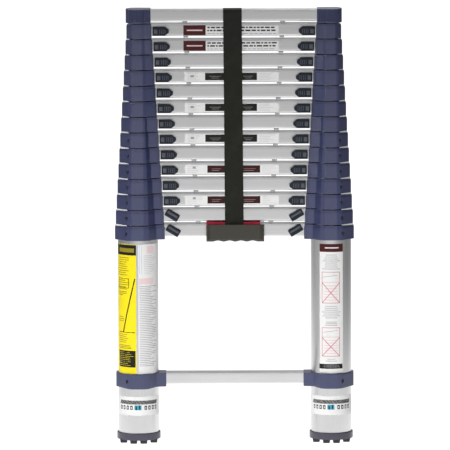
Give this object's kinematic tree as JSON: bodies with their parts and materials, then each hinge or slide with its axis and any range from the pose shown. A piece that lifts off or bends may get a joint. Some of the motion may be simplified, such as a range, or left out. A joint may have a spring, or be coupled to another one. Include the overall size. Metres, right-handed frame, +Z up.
{
  "type": "telescoping ladder",
  "caption": "Straight ladder whose tubular sections slide into one another and lock at each rung, folded down, with a strap, a carrying grip and rubber feet.",
  "frame": {"origin": "on the floor, midway between the two stiles", "axes": "+Z up along the stiles, +X from the left stile to the right one, latches facing -Y"},
  "size_m": [0.49, 0.094, 0.8942],
  "materials": {
    "aluminium": "satin extruded",
    "collar_plastic": "moulded, fine texture",
    "button_plastic": "moulded",
    "foot_rubber": "matte",
    "grip_rubber": "matte",
    "webbing": "woven",
    "liner_fabric": "woven",
    "label_vinyl": "printed film"
  },
  "bodies": {
    "base": {"base_tube_left": "aluminium", "base_tube_right": "aluminium", "base_collar_left": "collar_plastic", "base_collar_right": "collar_plastic", "base_rung": "aluminium", "bottom_rung": "aluminium", "bottom_collar_left": "collar_plastic", "bottom_collar_right": "collar_plastic", "foot_left": "foot_rubber", "foot_right": "foot_rubber", "handle_liner": "liner_fabric", "handle_grip": "grip_rubber"},
    "section_01": {"section_01": "aluminium"},
    "section_02": {"section_02": "aluminium"},
    "section_03": {"section_03": "aluminium"},
    "section_04": {"section_04": "aluminium"},
    "section_05": {"section_05": "aluminium"},
    "section_06": {"section_06": "aluminium"},
    "section_07": {"section_07": "aluminium"},
    "section_08": {"section_08": "aluminium"},
    "section_09": {"section_09": "aluminium"},
    "section_10": {"section_10": "aluminium"},
    "section_11": {"section_11": "aluminium"},
    "section_12": {"section_12": "aluminium"},
    "section_13": {"section_13": "aluminium"},
    "section_14": {"top_tube_left": "aluminium", "top_tube_right": "aluminium", "top_rung": "aluminium", "top_cap_left": "collar_plastic", "top_cap_right": "collar_plastic", "strap": "webbing"},
    "latch_01_left": {"latch_01_left": "button_plastic"},
    "latch_01_right": {"latch_01_right": "button_plastic"},
    "latch_02_left": {"latch_02_left": "button_plastic"},
    "latch_02_right": {"latch_02_right": "button_plastic"},
    "latch_03_left": {"latch_03_left": "button_plastic"},
    "latch_03_right": {"latch_03_right": "button_plastic"},
    "latch_04_left": {"latch_04_left": "button_plastic"},
    "latch_04_right": {"latch_04_right": "button_plastic"},
    "latch_05_left": {"latch_05_left": "button_plastic"},
    "latch_05_right": {"latch_05_right": "button_plastic"},
    "latch_06_left": {"latch_06_left": "button_plastic"},
    "latch_06_right": {"latch_06_right": "button_plastic"},
    "latch_07_left": {"latch_07_left": "button_plastic"},
    "latch_07_right": {"latch_07_right": "button_plastic"},
    "latch_08_left": {"latch_08_left": "button_plastic"},
    "latch_08_right": {"latch_08_right": "button_plastic"},
    "latch_09_left": {"latch_09_left": "button_plastic"},
    "latch_09_right": {"latch_09_right": "button_plastic"},
    "latch_10_left": {"latch_10_left": "button_plastic"},
    "latch_10_right": {"latch_10_right": "button_plastic"},
    "latch_11_left": {"latch_11_left": "button_plastic"},
    "latch_11_right": {"latch_11_right": "button_plastic"},
    "latch_12_left": {"latch_12_left": "button_plastic"},
    "latch_12_right": {"latch_12_right": "button_plastic"},
    "latch_13_left": {"latch_13_left": "button_plastic"},
    "latch_13_right": {"latch_13_right": "button_plastic"},
    "latch_14_left": {"latch_14_left": "button_plastic"},
    "latch_14_right": {"latch_14_right": "button_plastic"}
  },
  "joints": [
    {"name": "section_01_slide", "type": "slide", "parent": "base", "child": "section_01", "axis": [0, 0, 1], "range_m": [0, 0.27305]},
    {"name": "section_02_slide", "type": "slide", "parent": "section_01", "child": "section_02", "axis": [0, 0, 1], "range_m": [0, 0.27305]},
    {"name": "section_03_slide", "type": "slide", "parent": "section_02", "child": "section_03", "axis": [0, 0, 1], "range_m": [0, 0.27305]},
    {"name": "section_04_slide", "type": "slide", "parent": "section_03", "child": "section_04", "axis": [0, 0, 1], "range_m": [0, 0.27305]},
    {"name": "section_05_slide", "type": "slide", "parent": "section_04", "child": "section_05", "axis": [0, 0, 1], "range_m": [0, 0.27305]},
    {"name": "section_06_slide", "type": "slide", "parent": "section_05", "child": "section_06", "axis": [0, 0, 1], "range_m": [0, 0.27305]},
    {"name": "section_07_slide", "type": "slide", "parent": "section_06", "child": "section_07", "axis": [0, 0, 1], "range_m": [0, 0.27305]},
    {"name": "section_08_slide", "type": "slide", "parent": "section_07", "child": "section_08", "axis": [0, 0, 1], "range_m": [0, 0.27305]},
    {"name": "section_09_slide", "type": "slide", "parent": "section_08", "child": "section_09", "axis": [0, 0, 1], "range_m": [0, 0.27305]},
    {"name": "section_10_slide", "type": "slide", "parent": "section_09", "child": "section_10", "axis": [0, 0, 1], "range_m": [0, 0.27305]},
    {"name": "section_11_slide", "type": "slide", "parent": "section_10", "child": "section_11", "axis": [0, 0, 1], "range_m": [0, 0.27305]},
    {"name": "section_12_slide", "type": "slide", "parent": "section_11", "child": "section_12", "axis": [0, 0, 1], "range_m": [0, 0.27305]},
    {"name": "section_13_slide", "type": "slide", "parent": "section_12", "child": "section_13", "axis": [0, 0, 1], "range_m": [0, 0.27305]},
    {"name": "section_14_slide", "type": "slide", "parent": "section_13", "child": "section_14", "axis": [0, 0, 1], "range_m": [0, 0.27305]},
    {"name": "latch_01_left_slide", "type": "slide", "parent": "base", "child": "latch_01_left", "axis": [1, 0, 0], "range_m": [0, 0.008], "stiffness_N_per_m": 500, "springref_m": -0.008},
    {"name": "latch_01_right_slide", "type": "slide", "parent": "base", "child": "latch_01_right", "axis": [-1, 0, 0], "range_m": [0, 0.008], "stiffness_N_per_m": 500, "springref_m": -0.008},
    {"name": "latch_02_left_slide", "type": "slide", "parent": "section_01", "child": "latch_02_left", "axis": [1, 0, 0], "range_m": [0, 0.008], "stiffness_N_per_m": 500, "springref_m": -0.008},
    {"name": "latch_02_right_slide", "type": "slide", "parent": "section_01", "child": "latch_02_right", "axis": [-1, 0, 0], "range_m": [0, 0.008], "stiffness_N_per_m": 500, "springref_m": -0.008},
    {"name": "latch_03_left_slide", "type": "slide", "parent": "section_02", "child": "latch_03_left", "axis": [1, 0, 0], "range_m": [0, 0.008], "stiffness_N_per_m": 500, "springref_m": -0.008},
    {"name": "latch_03_right_slide", "type": "slide", "parent": "section_02", "child": "latch_03_right", "axis": [-1, 0, 0], "range_m": [0, 0.008], "stiffness_N_per_m": 500, "springref_m": -0.008},
    {"name": "latch_04_left_slide", "type": "slide", "parent": "section_03", "child": "latch_04_left", "axis": [1, 0, 0], "range_m": [0, 0.008], "stiffness_N_per_m": 500, "springref_m": -0.008},
    {"name": "latch_04_right_slide", "type": "slide", "parent": "section_03", "child": "latch_04_right", "axis": [-1, 0, 0], "range_m": [0, 0.008], "stiffness_N_per_m": 500, "springref_m": -0.008},
    {"name": "latch_05_left_slide", "type": "slide", "parent": "section_04", "child": "latch_05_left", "axis": [1, 0, 0], "range_m": [0, 0.008], "stiffness_N_per_m": 500, "springref_m": -0.008},
    {"name": "latch_05_right_slide", "type": "slide", "parent": "section_04", "child": "latch_05_right", "axis": [-1, 0, 0], "range_m": [0, 0.008], "stiffness_N_per_m": 500, "springref_m": -0.008},
    {"name": "latch_06_left_slide", "type": "slide", "parent": "section_05", "child": "latch_06_left", "axis": [1, 0, 0], "range_m": [0, 0.008], "stiffness_N_per_m": 500, "springref_m": -0.008},
    {"name": "latch_06_right_slide", "type": "slide", "parent": "section_05", "child": "latch_06_right", "axis": [-1, 0, 0], "range_m": [0, 0.008], "stiffness_N_per_m": 500, "springref_m": -0.008},
    {"name": "latch_07_left_slide", "type": "slide", "parent": "section_06", "child": "latch_07_left", "axis": [1, 0, 0], "range_m": [0, 0.008], "stiffness_N_per_m": 500, "springref_m": -0.008},
    {"name": "latch_07_right_slide", "type": "slide", "parent": "section_06", "child": "latch_07_right", "axis": [-1, 0, 0], "range_m": [0, 0.008], "stiffness_N_per_m": 500, "springref_m": -0.008},
    {"name": "latch_08_left_slide", "type": "slide", "parent": "section_07", "child": "latch_08_left", "axis": [1, 0, 0], "range_m": [0, 0.008], "stiffness_N_per_m": 500, "springref_m": -0.008},
    {"name": "latch_08_right_slide", "type": "slide", "parent": "section_07", "child": "latch_08_right", "axis": [-1, 0, 0], "range_m": [0, 0.008], "stiffness_N_per_m": 500, "springref_m": -0.008},
    {"name": "latch_09_left_slide", "type": "slide", "parent": "section_08", "child": "latch_09_left", "axis": [1, 0, 0], "range_m": [0, 0.008], "stiffness_N_per_m": 500, "springref_m": -0.008},
    {"name": "latch_09_right_slide", "type": "slide", "parent": "section_08", "child": "latch_09_right", "axis": [-1, 0, 0], "range_m": [0, 0.008], "stiffness_N_per_m": 500, "springref_m": -0.008},
    {"name": "latch_10_left_slide", "type": "slide", "parent": "section_09", "child": "latch_10_left", "axis": [1, 0, 0], "range_m": [0, 0.008], "stiffness_N_per_m": 500, "springref_m": -0.008},
    {"name": "latch_10_right_slide", "type": "slide", "parent": "section_09", "child": "latch_10_right", "axis": [-1, 0, 0], "range_m": [0, 0.008], "stiffness_N_per_m": 500, "springref_m": -0.008},
    {"name": "latch_11_left_slide", "type": "slide", "parent": "section_10", "child": "latch_11_left", "axis": [1, 0, 0], "range_m": [0, 0.008], "stiffness_N_per_m": 500, "springref_m": -0.008},
    {"name": "latch_11_right_slide", "type": "slide", "parent": "section_10", "child": "latch_11_right", "axis": [-1, 0, 0], "range_m": [0, 0.008], "stiffness_N_per_m": 500, "springref_m": -0.008},
    {"name": "latch_12_left_slide", "type": "slide", "parent": "section_11", "child": "latch_12_left", "axis": [1, 0, 0], "range_m": [0, 0.008], "stiffness_N_per_m": 500, "springref_m": -0.008},
    {"name": "latch_12_right_slide", "type": "slide", "parent": "section_11", "child": "latch_12_right", "axis": [-1, 0, 0], "range_m": [0, 0.008], "stiffness_N_per_m": 500, "springref_m": -0.008},
    {"name": "latch_13_left_slide", "type": "slide", "parent": "section_12", "child": "latch_13_left", "axis": [1, 0, 0], "range_m": [0, 0.008], "stiffness_N_per_m": 500, "springref_m": -0.008},
    {"name": "latch_13_right_slide", "type": "slide", "parent": "section_12", "child": "latch_13_right", "axis": [-1, 0, 0], "range_m": [0, 0.008], "stiffness_N_per_m": 500, "springref_m": -0.008},
    {"name": "latch_14_left_slide", "type": "slide", "parent": "section_13", "child": "latch_14_left", "axis": [1, 0, 0], "range_m": [0, 0.008], "stiffness_N_per_m": 500, "springref_m": -0.008},
    {"name": "latch_14_right_slide", "type": "slide", "parent": "section_13", "child": "latch_14_right", "axis": [-1, 0, 0], "range_m": [0, 0.008], "stiffness_N_per_m": 500, "springref_m": -0.008}
  ]
}
